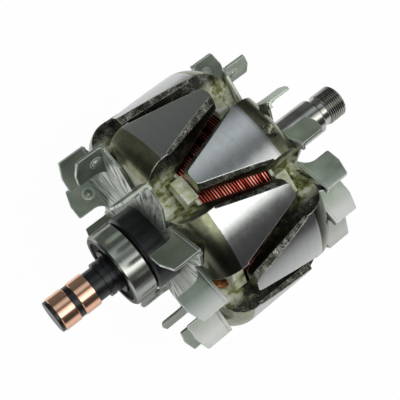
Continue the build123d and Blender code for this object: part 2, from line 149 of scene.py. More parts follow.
# Steel straight from the lathe and the grinder: its fine rings draw every
# highlight out into a long near-white streak along the bar. Rings of 0.4 mm
# stand for a feed of 0.1 mm, which would be too fine to show.
ring_spacing, ring_drift, stain_size = 0.4, 25.0, 7.5
steel_tones = ((0.35, "a9a8a2"), (0.65, "cbcac6"))
ground_steel, steel = finish("ground_steel", "c0bfbb", 0.2, 1.0)
place = add(steel, "TexCoord", out="Object")
ring_scale = (per_metre / ring_spacing, per_metre / ring_drift, per_metre / ring_drift)
rings = add(steel, "Mapping", {"Vector": place, "Scale": ring_scale})
turning = add(steel, "TexNoise", {"Vector": rings, "Scale": 1.0, "Detail": 3.0})
stain = add(steel, "TexNoise", {"Vector": place, "Scale": per_metre / stain_size, "Detail": 4.0})
clean = add(steel, "ValToRGB", {"Fac": stain}, stops=steel_tones)
# Painted shade and some oil and dirt darken the grooves of the thread, which
# lie under a radius of 7.45 mm and start 22.9 mm in front of the pulley
# shoulder
groove_top, groove_bottom = 0.00745, 0.00725
thread_from, thread_full = 0.0229, 0.0231
across = add(steel, "VectorMath", {0: place, 1: (0, 1, 1)}, operation="MULTIPLY")
groove_shade = add(steel, "VectorMath", {0: across}, operation="LENGTH")
groove_shade = add(steel, "MapRange", {"Value": groove_shade, "From Min": groove_top, "From Max": groove_bottom})
along = add(steel, "SeparateXYZ", {0: place}, out="X")
along = add(steel, "MapRange", {"Value": along, "From Min": thread_from, "From Max": thread_full})
groove_shade = add(steel, "Math", {0: groove_shade, 1: along}, operation="MULTIPLY")
add(steel, "Mix", {"Factor": groove_shade, "A": clean, "B": srgb("55554e")}, data_type="RGBA", to="Base Color")
add(steel, "MapRange", {"Value": turning, "To Min": 0.1, "To Max": 0.2}, to="Roughness")
add(steel, "Bump", {"Height": turning, "Strength": 0.3, "Distance": 0.00001}, to="Normal")


def thread_form(share):
    """Depth share of a 60 degree thread over one pitch, flat at crest and root."""
    slope, crest_flat = 2.6, 0.15
    return min(1.0, max(0.0, slope * abs(share - 0.5) - crest_flat))


bar = [
    (rear_end, axis_radius, 0), (rear_end, nose_radius, 0), (nose_end, nose_radius, 0),
    (nose_end, rear_journal - chamfer, 0), (nose_end + chamfer, rear_journal, 0),
    (rear_journal_end, rear_journal, 0), (rear_journal_end, rear_shoulder, 0),
    (rear_shoulder_end, rear_shoulder, 0), (rear_shoulder_end, core_radius, 0),
    (core_end, core_radius, 0), (core_end, collar_radius, 0),
    (scribe_place - scribe_half_width, collar_radius, 0),
    (scribe_place, collar_radius - scribe_depth, 0),
    (scribe_place + scribe_half_width, collar_radius, 0),
    (0.0, collar_radius, 0), (0.0, front_journal, 0),
    (front_journal_end - chamfer, front_journal, 0), (front_journal_end, front_journal - chamfer, 0),
    (front_journal_end, undercut_radius, 0), (undercut_end, undercut_radius, 0),
    (undercut_end + undercut_slope, undercut_radius + undercut_slope, 0),
]
step = thread_pitch / rows_per_turn
thread_start, thread_end = undercut_end + 2 * undercut_slope, front_end - chamfer
for count in range(int((thread_end - thread_start) / step) + 1):
    bar.append((thread_start + count * step, thread_crest, thread_depth))
bar += [
    (thread_end + 2 * blend, thread_crest - blend, 0), (front_end, thread_crest - chamfer, 0),
    (front_end, face_ring_radius, 0), (front_end, centre_hole_radius, 0),
    (front_end - centre_cone_depth, centre_hole_neck, 0), (front_end - centre_hole_depth, axis_radius, 0),
]
shaft = spin("shaft_with_thread", bar, shaft_sides, ground_steel, thread_pitch, thread_form)
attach(shaft, "rotor")
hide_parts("shaft")

# Pole pieces. Forged low-carbon steel, zinc plated and passivated olive all
# over, then turned on the outside after assembly, so that only the lands of
# the fingers are bare steel. Flanks and chamfers keep the grainy forging skin.


def dress(material, *names):
    """Gives a finish to solids of the frame."""
    for name in names:
        nodes[name].data.materials.clear()
        nodes[name].data.materials.append(material)


# Sizes of the patterns in millimetres. The marks of turning are drawn at
# 0.5 mm for a feed of 0.2 mm.
grit_size, patch_size, run_size = 0.4, 3.0, 6.0
feed_mark, mark_drift = 0.5, 30.0
# Places where one surface gives way to the next, in metres
land_from, land_full = 0.05214, 0.05219
valley_from, valley_full = 0.0475, 0.043
claw_middle, pool_from, pool_full = 0.046, 0.016, 0.022
near_shade_from, near_shade_full, near_shade_low, near_shade_high = -0.026, -0.04, 0.002, 0.012
chamfer_grit_glint_tones = ((0.4, "1c1d16"), (0.49, "4e4f43"), (0.56, "9b9c8c"), (0.615, "ffffff"))
flank_shade_tones = ((0.4, "0f100c"), (0.55, "232319"), (0.66, "55543c"))
varnish_tones = ((0.38, "23241a"), (0.46, "5f6038"), (0.53, "96985f"), (0.59, "d9dbbd"), (0.68, "f4f4e8"))
shoulder_tones = ((0.3, "777962"), (0.7, "999b7e"))
land_tones = ((0.3, "c1c3c2"), (0.7, "c6c8c7"))

# Turned lands mirror the studio in bright and dark bands, passivated shoulders
# do so softly in olive, and the forging skin breaks it up into pale grit.
forged_pole, pole = finish("passivated_forged_steel", "5c5e50", 0.3, 0.9)
place = add(pole, "TexCoord", out="Object")
across = add(pole, "VectorMath", {0: place, 1: (0, 1, 1)}, operation="MULTIPLY")
radius = add(pole, "VectorMath", {0: across}, operation="LENGTH")
outward = add(pole, "VectorMath", {0: across}, operation="NORMALIZE")
sideways = add(pole, "VectorMath", {0: outward, 1: (1, 0, 0)}, operation="CROSS_PRODUCT")
facing = add(pole, "NewGeometry", out="True Normal")
lean = add(pole, "VectorMath", {0: sideways, 1: facing}, operation="DOT_PRODUCT")
lean = add(pole, "Math", {0: lean}, operation="ABSOLUTE")
tilt = add(pole, "VectorMath", {0: outward, 1: facing}, operation="DOT_PRODUCT")
land = add(pole, "MapRange", {"Value": radius, "From Min": land_from, "From Max": land_full})
side = add(pole, "MapRange", {"Value": lean, "From Min": 0.3, "From Max": 0.5})
steep_shade = add(pole, "MapRange", {"Value": tilt, "From Min": 0.4, "From Max": 0.2})
# Forging grit on the chamfers, pale zinc specks on dark olive, with the
# brightest specks painted white as highlights where the grit catches light
grit = add(pole, "TexNoise", {
    "Vector": place, "Scale": per_metre / grit_size, "Detail": 4.0, "Roughness": 0.7})
patches = add(pole, "TexNoise", {
    "Vector": place, "Scale": per_metre / patch_size, "Detail": 4.0, "Roughness": 0.6})
specks = add(pole, "Mix", {"Factor": 0.35, "A": grit, "B": patches})
chamfer_grit_and_glints = add(pole, "ValToRGB", {"Fac": specks}, stops=chamfer_grit_glint_tones)
# Painted shade: steep flanks, in the shadow between the fingers, are painted
# nearly black
flank_shade = add(pole, "ValToRGB", {"Fac": specks}, stops=flank_shade_tones)
skin = add(pole, "Mix", {"Factor": steep_shade, "A": chamfer_grit_and_glints, "B": flank_shade}, data_type="RGBA")
# Varnish of the winding has run into the valleys, but not over the shoulders
deep = add(pole, "MapRange", {"Value": radius, "From Min": valley_from, "From Max": valley_full})
end_on = add(pole, "VectorMath", {0: facing, 1: (1, 0, 0)}, operation="DOT_PRODUCT")
end_on = add(pole, "Math", {0: end_on}, operation="ABSOLUTE")
inside = add(pole, "MapRange", {"Value": end_on, "From Min": 0.4, "From Max": 0.2})
deep = add(pole, "Math", {0: deep, 1: inside}, operation="MULTIPLY")
runs = add(pole, "TexNoise", {
    "Vector": place, "Scale": per_metre / run_size, "Detail": 6.0, "Roughness": 0.62})
# It pools at the roots of the fingers, 16 to 22 mm from the middle of the claws
root = add(pole, "SeparateXYZ", {0: place}, out="X")
root = add(pole, "Math", {0: root, 1: claw_middle}, operation="ADD")
root = add(pole, "Math", {0: root}, operation="ABSOLUTE")
root = add(pole, "MapRange", {
    "Value": root, "From Min": pool_from, "From Max": pool_full, "To Min": -0.07, "To Max": 0.09})
runs = add(pole, "Math", {0: runs, 1: root}, operation="ADD")
varnish = add(pole, "ValToRGB", {"Fac": runs}, stops=varnish_tones)
side_deep = add(pole, "Math", {0: deep, 1: side}, operation="MULTIPLY")
skin = add(pole, "Mix", {"Factor": side_deep, "A": skin, "B": varnish}, data_type="RGBA")
cloud = add(pole, "ValToRGB", {"Fac": patches}, stops=shoulder_tones)
# Painted shade darkens the shoulders above the near side
near_shoulder_shade = add(pole, "SeparateXYZ", {0: place}, out="Y")
near_shoulder_shade = add(pole, "MapRange", {"Value": near_shoulder_shade, "From Min": near_shade_from, "From Max": near_shade_full})
above = add(pole, "SeparateXYZ", {0: place}, out="Z")
above = add(pole, "MapRange", {"Value": above, "From Min": near_shade_low, "From Max": near_shade_high})
near_shoulder_shade = add(pole, "Math", {0: near_shoulder_shade, 1: above}, operation="MULTIPLY")
cloud = add(pole, "Mix", {"Factor": near_shoulder_shade, "A": cloud, "B": srgb("47483d")}, data_type="RGBA")
floor_deep = add(pole, "Mix", {"Factor": deep, "A": cloud, "B": varnish}, data_type="RGBA")
skin = add(pole, "Mix", {"Factor": side, "A": floor_deep, "B": skin}, data_type="RGBA")
mark_scale = (per_metre / feed_mark, per_metre / mark_drift, per_metre / mark_drift)
rings = add(pole, "Mapping", {"Vector": place, "Scale": mark_scale})
turning = add(pole, "TexNoise", {"Vector": rings, "Scale": 1.0, "Detail": 2.0})
bare = add(pole, "ValToRGB", {"Fac": turning}, stops=land_tones)
coloured = add(pole, "Mix", {"Factor": land, "A": skin, "B": bare}, data_type="RGBA")
# Painted highlight, with some wear, brightens edges over half a millimetre,
# where the grit stands up
rounded = add(pole, "Bevel", {"Radius": 0.0005}, samples=6)
edge_highlight_and_wear = add(pole, "VectorMath", {0: rounded, 1: facing}, operation="DOT_PRODUCT")
edge_highlight_and_wear = add(pole, "MapRange", {"Value": edge_highlight_and_wear, "From Min": 0.985, "From Max": 0.93})
highlight_and_wear_specks = add(pole, "MapRange", {"Value": specks, "From Min": 0.42, "From Max": 0.52})
edge_highlight_and_wear = add(pole, "Math", {0: edge_highlight_and_wear, 1: highlight_and_wear_specks}, operation="MULTIPLY")
add(pole, "Mix", {"Factor": edge_highlight_and_wear, "A": coloured, "B": srgb("f6f6ee")}, data_type="RGBA", to="Base Color")
soft = add(pole, "MapRange", {"Value": side, "To Min": 0.22, "To Max": 0.42})
turned = add(pole, "MapRange", {
    "Value": patches, "From Min": 0.35, "From Max": 0.65, "To Min": 0.14, "To Max": 0.22})
add(pole, "Mix", {"Factor": land, "A": soft, "B": turned}, to="Roughness")
plated = add(pole, "MapRange", {"Value": side, "To Min": 0.95, "To Max": 0.8})
dry = add(pole, "Mix", {"Factor": deep, "A": plated, "B": 0.35})
add(pole, "Mix", {"Factor": land, "A": dry, "B": 1.0}, to="Metallic")
relief = add(pole, "MapRange", {"Value": side, "To Min": 0.04, "To Max": 1.0})
relief = add(pole, "Math", {0: specks, 1: relief}, operation="MULTIPLY")
dust = add(pole, "Math", {0: patches, 1: 0.06}, operation="MULTIPLY")
height = add(pole, "Mix", {"Factor": land, "A": relief, "B": dust})
add(pole, "Bump", {"Height": height, "Normal": rounded, "Strength": 1.0, "Distance": 0.0003}, to="Normal")
dress(forged_pole, "rear_pole_piece", "front_pole_piece")

# Field winding. About four hundred turns of enamelled copper wire wound tight
# on the spool and varnished. The outer layer is made turn by turn, at a pitch
# of 1.18 mm so that the turns still show. Sizes are in millimetres.
winding_start, winding_end, winding_bore, winding_radius = -61.0, -31.0, 27.4, 40.0
first_turn, end_drop, side_drop = 0.2, 0.3, 0.6
wire_pitch, wire_depth, rows_per_wire = 1.18, 0.5, 10
winding_sides = 192
# Every turn took the varnish a little differently, over lengths of about 15 mm
tone_width, tone_length = 1.1, 15.0
# Where a gap between two turns ends and where the crown is full, in metres
gap_radius, crown_radius = 0.0399, 0.03999
wire_tones = ((0.3, "3a120d"), (0.4, "b84a3c"), (0.55, "ee8575"), (0.68, "ffb3a4"))

# Enamel over copper: red, glossy crowns with pink highlights, and gaps between
# the turns painted nearly black as painted shade.
coil_copper, coil = finish("enamelled_copper", "c0583f", 0.28, 1.0)
place = add(coil, "TexCoord", out="Object")
across = add(coil, "VectorMath", {0: place, 1: (0, 1, 1)}, operation="MULTIPLY")
radius = add(coil, "VectorMath", {0: across}, operation="LENGTH")
crown_over_gap_shade = add(coil, "MapRange", {"Value": radius, "From Min": gap_radius, "From Max": crown_radius})
tone_scale = (per_metre / tone_width, per_metre / tone_length, per_metre / tone_length)
each = add(coil, "Mapping", {"Vector": place, "Scale": tone_scale})
shade = add(coil, "TexNoise", {"Vector": each, "Scale": 1.0, "Detail": 3.0})
tone = add(coil, "ValToRGB", {"Fac": shade}, stops=wire_tones)
# Painted shade: the gaps between the turns are painted nearly black
add(coil, "Mix", {"Factor": crown_over_gap_shade, "A": srgb("0c0302"), "B": tone}, data_type="RGBA", to="Base Color")


def wire_form(share):
    """Depth share of the gap between two round wires over one pitch."""
    return 1 - math.sqrt(max(0.0, 1 - (2 * share - 1) ** 2))


wound_length = winding_end - winding_start - 2 * first_turn
rows = int(wound_length / (wire_pitch / rows_per_wire))
turns = [
    (winding_start, winding_bore, 0), (winding_start, winding_radius - side_drop, 0),
    (winding_start + first_turn, winding_radius - end_drop, 0),
]
for count in range(rows + 1):
    turns.append((winding_start + first_turn + count * wound_length / rows, winding_radius, wire_depth))
turns += [
    (winding_end - first_turn, winding_radius - end_drop, 0),
    (winding_end, winding_radius - side_drop, 0),
    (winding_end, winding_bore, 0), (winding_start, winding_bore, 0),
]
winding = spin("field_winding", turns, winding_sides, coil_copper, wire_pitch, wire_form)
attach(winding, "rotor")
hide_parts("field_coil")

# Winding ends and the strips that carry the current to the slip rings, all of
# copper. The finish lead leaves the spool wound round with turns of its own
# wire. Sizes are in millimetres, angles in degrees from level at the back.
wrap_radius, wrap_ridge, wrap_end_radius = 2.3, 0.45, 0.2
wrap_place, wrap_x, wrap_run = 36.6, -72.0, 9.0
wrap_from, wrap_to = 166.0, 184.0
wrap_turns, wrap_rows_per_turn, wrap_sides = 10, 8, 20
drop_size = 1.4

# Copper under brown baking varnish: a warm brown under a clear, wet-looking
# coat, lighter where the varnish is thin.
lead_copper, lead = finish(
    "varnished_copper_lead", "9a5a24", 0.35, 0.6, Coat_Weight=0.8, Coat_Roughness=0.2)
place = add(lead, "TexCoord", out="Object")
resin = add(lead, "TexNoise", {"Vector": place, "Scale": per_metre / drop_size, "Detail": 3.0})
add(lead, "ValToRGB", {"Fac": resin}, stops=((0.35, "5e2f10"), (0.62, "b9742f")), to="Base Color")
dress(lead_copper, "coil_lead_start", "coil_lead_finish", "conductor_outer", "conductor_inner")
points, faces = [], []
rows = wrap_turns * wrap_rows_per_turn
for row in range(rows + 1):
    share = row / rows
    swell = wrap_radius - wrap_ridge * (1 - abs(math.sin(math.pi * wrap_turns * share)))
    if row in (0, rows):
        swell = wrap_end_radius
    arc = math.radians(wrap_from + (wrap_to - wrap_from) * share)
    for side in range(wrap_sides):
        turn = 2 * math.pi * side / wrap_sides
        reach = wrap_place + swell * math.cos(turn)
        points.append((
            (wrap_x + wrap_run * share + swell * math.sin(turn)) / per_metre,
            reach * math.cos(arc) / per_metre,
            reach * math.sin(arc) / per_metre,
        ))
for row in range(rows):
    for side in range(wrap_sides):
        after = (side + 1) % wrap_sides
        faces.append((
            row * wrap_sides + side,
            (row + 1) * wrap_sides + side,
            (row + 1) * wrap_sides + after,
            row * wrap_sides + after,
        ))
mesh = bpy.data.meshes.new("lead_wrapping")
mesh.from_pydata(points, [], faces)
mesh.shade_smooth()
mesh.materials.append(lead_copper)
wrapping = bpy.data.objects.new("lead_wrapping", mesh)
bpy.context.scene.collection.objects.link(wrapping)
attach(wrapping, "rotor")

# Spool of the winding. Moulded in natural nylon in one piece with its lugs,
# slipped over the half cores and soaked with the winding's varnish. Resin lies
# on it in patches of about 4 mm.
resin_size = 4.0
nylon_resin_glint_tones = ((0.32, "8f9766"), (0.42, "ccd3a8"), (0.54, "e4e8c8"), (0.64, "ffffff"))

# Nylon under varnish: a waxy, pale cream green that lets a little light in,
# with whiter drops where the resin stands up, their tops painted white as
# painted highlights.
varnished_nylon, nylon = finish(
    "varnished_nylon", "bfc59c", 0.42, Subsurface_Weight=0.1, Subsurface_Scale=0.002)
place = add(nylon, "TexCoord", out="Object")
resin = add(nylon, "TexNoise", {
    "Vector": place, "Scale": per_metre / resin_size, "Detail": 5.0, "Roughness": 0.65})
add(nylon, "ValToRGB", {"Fac": resin}, stops=nylon_resin_glint_tones, to="Base Color")
add(nylon, "Bump", {"Height": resin, "Strength": 0.6, "Distance": 0.0003}, to="Normal")
dress(varnished_nylon, "coil_bobbin")

# Fans. Pressed from steel sheet, blades folded up, zinc plated and passivated
# to a pale grey green, then welded to the pole faces. Each blade carries one
# round dimple beside its bend, which stiffens it. Sizes in millimetres.
sheet_thickness, fan_radius, blade_chord = 1.2, 50.3, 13.7
rear_plate, front_plate = -74.42, -16.78
# Angles of the blades and how far each leans from the radius, in degrees
rear_blades = (23, 57, 94, 131, 162, 193.5, 221, 249.5, 271, 297, 322, 350)
front_blades = (2, 33, 66, 97.5, 122, 147, 170, 198, 231, 267, 303, 335)
blade_lean = 29.0
# A dimple as (radius, rise) from its rim to its top, and where it stands
dimple_form = (
    (2.9, -0.1), (2.6, 0.15), (2.2, 0.2), (1.9, 0.25), (1.6, 0.7), (1.1, 1.05), (0.5, 1.25), (0.01, 1.3))
dimple_height, dimple_sides = 4.0, 28
# The bend keeps its inside radius; the solid's rib over it is cut away from here
rib_half_width, bend_end, rib_end, skin_left = 1.75, 2.25, 7.8, 0.01
cloud_size, wave_size, creases_per_radian = 9.0, 11.0, 15
sheet_tones = ((0.3, "a3b09f"), (0.5, "b8c3b3"), (0.7, "ccd4c6"))
crease_shade_highlight_tones = ((0.36, "14170f"), (0.41, "8d998a"), (0.48, "dfe7da"), (0.56, "ffffff"))

# Passivated zinc: a satin grey green with faint clouds. Folding drew its plate
# into creases, with painted shade and highlights along them. Edges, bared by
# shearing, carry a painted highlight, and near blades a painted reflection of
# the white paper.
zinc_sheet, zinc = finish("passivated_zinc_sheet", "b4beb2", 0.4, 0.8)
place = add(zinc, "TexCoord", out="Object")
across = add(zinc, "VectorMath", {0: place, 1: (0, 1, 1)}, operation="MULTIPLY")
outward = add(zinc, "VectorMath", {0: across}, operation="NORMALIZE")
facing = add(zinc, "NewGeometry", out="True Normal")
flat = add(zinc, "VectorMath", {0: facing, 1: (1, 0, 0)}, operation="DOT_PRODUCT")
flat = add(zinc, "Math", {0: flat}, operation="ABSOLUTE")
flat = add(zinc, "MapRange", {"Value": flat, "From Min": 0.8, "From Max": 0.95})
# Painted reflection: blades further than 38 mm to the near side are painted
# near white, as if they mirrored the white paper
near_blade_paper_reflection = add(zinc, "SeparateXYZ", {0: place}, out="Y")
near_blade_paper_reflection = add(zinc, "MapRange", {"Value": near_blade_paper_reflection, "From Min": -0.038, "From Max": -0.046})
# Creases of 2 to 3 mm run out from the hub and waver on the way
drawn = add(zinc, "Mapping", {"Vector": outward, "Scale": (1, creases_per_radian, creases_per_radian)})
waver = (per_metre / wave_size, per_metre / wave_size, per_metre / wave_size)
bent = add(zinc, "VectorMath", {0: place, 1: waver}, operation="MULTIPLY")
drawn = add(zinc, "VectorMath", {0: drawn, 1: bent}, operation="ADD")
streaks = add(zinc, "TexNoise", {"Vector": drawn, "Scale": 1.0, "Detail": 5.0, "Roughness": 0.62})
cloud = add(zinc, "TexNoise", {"Vector": place, "Scale": per_metre / cloud_size, "Detail": 4.0})
sheet = add(zinc, "ValToRGB", {"Fac": cloud}, stops=sheet_tones)
# The fan by the bearing is darker, and the front fan lighter
rear_darker_front_lighter = add(zinc, "SeparateXYZ", {0: place}, out="X")
rear_darker_front_lighter = add(zinc, "MapRange", {
    "Value": rear_darker_front_lighter, "From Min": -0.05, "From Max": -0.03, "To Min": 0.8, "To Max": 1.1})
sheet = add(zinc, "VectorMath", {0: sheet, "Scale": rear_darker_front_lighter}, operation="SCALE")
sheet = add(zinc, "Mix", {"Factor": near_blade_paper_reflection, "A": sheet, "B": srgb("fbfdf8")}, data_type="RGBA")
# Painted shade and highlights along the creases, from near black to white
crease_shade_and_highlight = add(zinc, "ValToRGB", {"Fac": streaks}, stops=crease_shade_highlight_tones)
# The creases begin 18 mm out from the axis; the hub stays smooth
outer = add(zinc, "VectorMath", {0: across}, operation="LENGTH")
outer = add(zinc, "MapRange", {"Value": outer, "From Min": 0.018, "From Max": 0.03})
flat = add(zinc, "Math", {0: flat, 1: outer}, operation="MULTIPLY")
sheet = add(zinc, "Mix", {"Factor": flat, "A": sheet, "B": crease_shade_and_highlight}, data_type="RGBA")
# Painted highlight: edges over 0.6 mm are painted white, on metal partly bared by shearing
rounded = add(zinc, "Bevel", {"Radius": 0.0006}, samples=6)
edge_highlight_and_wear = add(zinc, "VectorMath", {0: rounded, 1: facing}, operation="DOT_PRODUCT")
edge_highlight_and_wear = add(zinc, "MapRange", {"Value": edge_highlight_and_wear, "From Min": 0.99, "From Max": 0.9})
add(zinc, "Mix", {"Factor": edge_highlight_and_wear, "A": sheet, "B": srgb("ffffff")}, data_type="RGBA", to="Base Color")
plated = add(zinc, "MapRange", {"Value": near_blade_paper_reflection, "To Min": 0.8, "To Max": 0.45})
add(zinc, "Mix", {"Factor": edge_highlight_and_wear, "A": plated, "B": 0.1}, to="Metallic")
add(zinc, "MapRange", {
    "Value": cloud, "From Min": 0.3, "From Max": 0.7, "To Min": 0.34, "To Max": 0.46}, to="Roughness")
crease = add(zinc, "Math", {0: streaks, 1: flat}, operation="MULTIPLY")
waves = add(zinc, "Math", {0: cloud, 1: crease}, operation="ADD")
add(zinc, "Bump", {"Height": waves, "Normal": rounded, "Strength": 0.5, "Distance": 0.0005}, to="Normal")


def blade_frame(angle, plate_x, side):
    """Matrix from a blade's own millimetres to metres: x up the blade, y out along it, z off its face."""
    turn = math.radians(angle + blade_lean)
    along = Vector((0, math.cos(turn), math.sin(turn)))
    off = Vector((0, -math.sin(turn), math.cos(turn)))
    outer = Vector((0, math.cos(math.radians(angle)), math.sin(math.radians(angle)))) * fan_radius
    up = Vector((side, 0, 0))
    frame_of_blade = Matrix((up, along, off)).transposed().to_4x4()
    frame_of_blade.translation = outer - along * blade_chord + Vector((plate_x, 0, 0))
    return Matrix.Scale(1 / per_metre, 4) @ frame_of_blade


def dimpled_fan(name, node, angles, plate_x, side):
    """The fan of the frame with the rib of each bend cut off and a pressed dimple on each blade."""
    knife = bpy.data.meshes.new("rib_knife")
    low = sheet_thickness + skin_left
    section = ((low, bend_end), (bend_end, low), (rib_end, low), (rib_end, rib_end), (low, rib_end))
    corners, walls = [], []
    for angle in angles:
        stand = blade_frame(angle, plate_x, side)
        first = len(corners)
        for reach in (blade_chord / 2 - rib_half_width, blade_chord / 2 + rib_half_width):
            corners += [stand @ Vector((x, reach, z)) for x, z in section]
        count = len(section)
        ends = [list(range(first, first + count)), list(range(first + 2 * count - 1, first + count - 1, -1))]
        sides = [
            [first + (k + 1) % count, first + k, first + count + k, first + count + (k + 1) % count]
            for k in range(count)
        ]
        walls += [face if side > 0 else face[::-1] for face in ends + sides]
    knife.from_pydata(corners, [], walls)
    knife.validate()
    blade = bpy.data.objects.new("rib_knife", knife)
    # The solid's triangles are welded first, so that the knife meets a closed skin
    weld_distance = 1e-6
    whole = bmesh.new()
    whole.from_mesh(nodes[node].data)
    bmesh.ops.remove_doubles(whole, verts=whole.verts, dist=weld_distance)
    welded = bpy.data.meshes.new(name)
    whole.to_mesh(welded)
    whole.free()
    work = bpy.data.objects.new(name, welded)
    work.matrix_world = nodes[node].matrix_world
    for thing in (blade, work):
        bpy.context.scene.collection.objects.link(thing)
    cut = work.modifiers.new("cut", "BOOLEAN")
    cut.operation = "DIFFERENCE"
    cut.solver = "EXACT"
    cut.object = blade
    trimmed = bpy.data.meshes.new_from_object(work.evaluated_get(bpy.context.evaluated_depsgraph_get()))
    bpy.data.objects.remove(work)
    bpy.data.objects.remove(blade)
    points = [vertex.co.copy() for vertex in trimmed.vertices]
    faces = [tuple(polygon.vertices) for polygon in trimmed.polygons]
    for angle in angles:
        stand = blade_frame(angle, plate_x, side)
        first = len(points)
        for reach, rise in dimple_form:
            for step in range(dimple_sides):
                turn = 2 * math.pi * step / dimple_sides
                points.append(stand @ Vector((
                    sheet_thickness + dimple_height + reach * math.cos(turn),
                    blade_chord / 2 + reach * math.sin(turn),
                    sheet_thickness + rise,
                )))
        for row in range(len(dimple_form) - 1):
            for step in range(dimple_sides):
                after = (step + 1) % dimple_sides
                ring = [first + row * dimple_sides + step, first + row * dimple_sides + after]
                face = (ring[0], ring[1], ring[1] + dimple_sides, ring[0] + dimple_sides)
                faces.append(face if side > 0 else face[::-1])
    mesh = bpy.data.meshes.new(name)
    mesh.from_pydata(points, [], faces)
    mesh.shade_smooth()
    sharpest_smooth_edge = math.radians(30)
    mesh.set_sharp_from_angle(angle=sharpest_smooth_edge)
    mesh.materials.append(zinc_sheet)
    fan = bpy.data.objects.new(name, mesh)
    bpy.context.scene.collection.objects.link(fan)
    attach(fan, "rotor")
    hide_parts(node)


dimpled_fan("rear_fan_pressing", "rear_fan", rear_blades, rear_plate, -1)
dimpled_fan("front_fan_pressing", "front_fan", front_blades, front_plate, 1)

# Ball bearing. Rings and balls of through-hardened chrome steel, ground and
# lapped, with pressed shields and a riveted cage, and pressed on to the shaft.
# The rings of grinding are drawn at 0.4 mm, far coarser than they are.
grinding_ring, grinding_drift, oil_size = 0.4, 50.0, 3.3
chrome_tones = ((0.3, "a6a9a3"), (0.7, "b2b5af"))
shield_tones = ((0.35, "3f413c"), (0.65, "6a6c66"))

# Ground chrome steel: a hard bright mirror on the outside. Its flat faces are
# painted darker as painted shade, for the shaded paper under the piece that
# they mirror, also where they are seen edge-on.
bearing_steel, chrome = finish(
    "ground_bearing_steel", "b4b6b2", 0.1, 1.0, Specular_Tint=(0.55, 0.55, 0.55, 1))
place = add(chrome, "TexCoord", out="Object")
grinding_scale = (per_metre / grinding_ring, per_metre / grinding_drift, per_metre / grinding_drift)
rings = add(chrome, "Mapping", {"Vector": place, "Scale": grinding_scale})
turning = add(chrome, "TexNoise", {"Vector": rings, "Scale": 1.0, "Detail": 2.0})
ground = add(chrome, "ValToRGB", {"Fac": turning}, stops=chrome_tones)
facing = add(chrome, "NewGeometry", out="True Normal")
# Painted shade: flat faces are painted dark
face = add(chrome, "VectorMath", {0: facing, 1: (1, 0, 0)}, operation="DOT_PRODUCT")
face = add(chrome, "Math", {0: face}, operation="ABSOLUTE")
face = add(chrome, "MapRange", {"Value": face, "From Min": 0.9, "From Max": 0.95})
add(chrome, "Mix", {"Factor": face, "A": ground, "B": srgb("4c4d49")}, data_type="RGBA", to="Base Color")
add(chrome, "MapRange", {"Value": turning, "To Min": 0.15, "To Max": 0.2}, to="Roughness")
dress(bearing_steel, "bearing_outer_ring", "bearing_inner_ring", "bearing_balls")

# Pressed sheet steel under oil: dull and dark, with clouds of 3 mm.
shield_steel, shield = finish(
    "pressed_shield_steel", "6f716c", 0.3, 1.0, Specular_Tint=(0.3, 0.3, 0.3, 1))
place = add(shield, "TexCoord", out="Object")
oil = add(shield, "TexNoise", {"Vector": place, "Scale": per_metre / oil_size, "Detail": 3.0})
add(shield, "ValToRGB", {"Fac": oil}, stops=shield_tones, to="Base Color")
dress(shield_steel, "bearing_shield_rear", "bearing_shield_front", "bearing_cage")

# Slip rings and their carrier. Two drawn copper rings moulded into a black
# phenolic body, then skimmed on the lathe together. The sleeve that insulates
# the leads behind the bearing is moulded in the same black.
skim_ring, skim_drift, dust_size = 0.33, 50.0, 1.25
copper_tones = ((0.3, "f0b998"), (0.7, "fccdb2"))
phenolic_tones = ((0.35, "101114"), (0.7, "222428"))

# Copper fresh from the lathe: a bright pale orange that mirrors the studio in
# bands. Its fine rings are drawn at 0.33 mm, coarser than they are.
turned_copper, copper = finish("turned_copper", "f4c3a6", 0.1, 1.0)
place = add(copper, "TexCoord", out="Object")
skim_scale = (per_metre / skim_ring, per_metre / skim_drift, per_metre / skim_drift)
rings = add(copper, "Mapping", {"Vector": place, "Scale": skim_scale})
turning = add(copper, "TexNoise", {"Vector": rings, "Scale": 1.0, "Detail": 2.0})
add(copper, "ValToRGB", {"Fac": turning}, stops=copper_tones, to="Base Color")
dress(turned_copper, "slip_ring_outer", "slip_ring_inner")

# Moulded phenolic: nearly black with a low gloss, greyed by patches of dust.
black_phenolic, phenolic = finish("black_phenolic", "17181b", 0.3)
place = add(phenolic, "TexCoord", out="Object")
dust = add(phenolic, "TexNoise", {"Vector": place, "Scale": per_metre / dust_size, "Detail": 4.0})
add(phenolic, "ValToRGB", {"Fac": dust}, stops=phenolic_tones, to="Base Color")
add(phenolic, "Bump", {"Height": dust, "Strength": 0.4, "Distance": 0.0002}, to="Normal")
dress(black_phenolic, "slip_ring_moulding", "lead_insulator")

# Studio. White paper under the piece and strips of light and shade round it,
# laid along the shaft, so that every turned face shows them as bands. The
# sizes of the paper are in metres.
paper_reach, paper_gap = 0.4, 0.0005
paper_glow, shadow_share = 0.965, 0.06
pure_white = (1, 1, 1, 1)
paper = bpy.data.meshes.new("floor")
floor_z = cad_box[0][2] - paper_gap
corners = ((-1, -1), (1, -1), (1, 1), (-1, 1))
paper.from_pydata([(paper_reach * x, paper_reach * y, floor_z) for x, y in corners], [], [(0, 1, 2, 3)])
floor = bpy.data.objects.new("floor", paper)
bpy.context.scene.collection.objects.link(floor)

